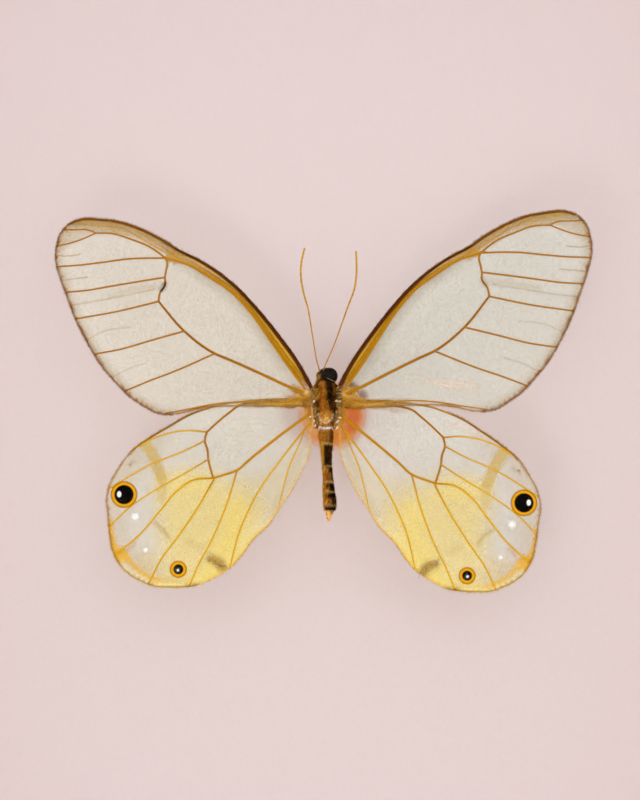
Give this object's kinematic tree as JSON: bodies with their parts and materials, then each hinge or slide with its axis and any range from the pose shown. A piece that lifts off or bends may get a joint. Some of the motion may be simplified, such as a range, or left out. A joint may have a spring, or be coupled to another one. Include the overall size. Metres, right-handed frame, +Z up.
{
  "type": "framed butterfly specimen",
  "caption": "Spread glass-winged butterfly with yellow, eye-spotted hindwings, pinned on an orange plug over a pink card in a plain pale wood box frame with glass.",
  "frame": {"origin": "on the ground, under the middle of the frame's bounding box", "axes": "+Z up; the glass faces -Y; +X is to the right as seen from the front"},
  "size_m": [0.144, 0.038, 0.174],
  "materials": {
    "pale_wood": "matt, fine grain",
    "clear_glass": "clear, polished",
    "pink_liner": "matt paper over foam board",
    "pink_card": "matt, very fine tooth",
    "brown_board": "matt fibre board",
    "bright_steel": "bright, lightly brushed",
    "orange_foam": "soft, matt, slightly translucent",
    "brown_fur": "golden brown hairs and scales, glossy black eyes",
    "amber_shell": "amber, satin",
    "clear_wing": "clear membrane with rust-brown veins",
    "yellow_wing": "clear membrane washed with yellow, golden veins, eyespots"
  },
  "bodies": {
    "root": {"rail_bottom": "pale_wood", "rail_top": "pale_wood", "rail_left": "pale_wood", "rail_right": "pale_wood", "glass_pane": "clear_glass", "spacer_bottom": "pink_liner", "spacer_top": "pink_liner", "spacer_left": "pink_liner", "spacer_right": "pink_liner", "backing_card": "pink_card", "back_board": "brown_board", "tab_bottom": "bright_steel", "tab_top": "bright_steel", "tab_left_lower": "bright_steel", "tab_left_upper": "bright_steel", "tab_right_lower": "bright_steel", "tab_right_upper": "bright_steel", "hanger": "bright_steel", "hanger_nail_left": "bright_steel", "hanger_nail_right": "bright_steel", "pin": "bright_steel", "support_plug": "orange_foam", "body": "brown_fur", "forewing_left": "clear_wing", "forewing_right": "clear_wing", "hindwing_left": "yellow_wing", "hindwing_right": "yellow_wing", "antenna_left": "amber_shell", "antenna_right": "amber_shell", "middle_leg_left": "amber_shell", "middle_leg_right": "amber_shell", "hind_leg_left": "amber_shell", "hind_leg_right": "amber_shell"}
  },
  "joints": []
}
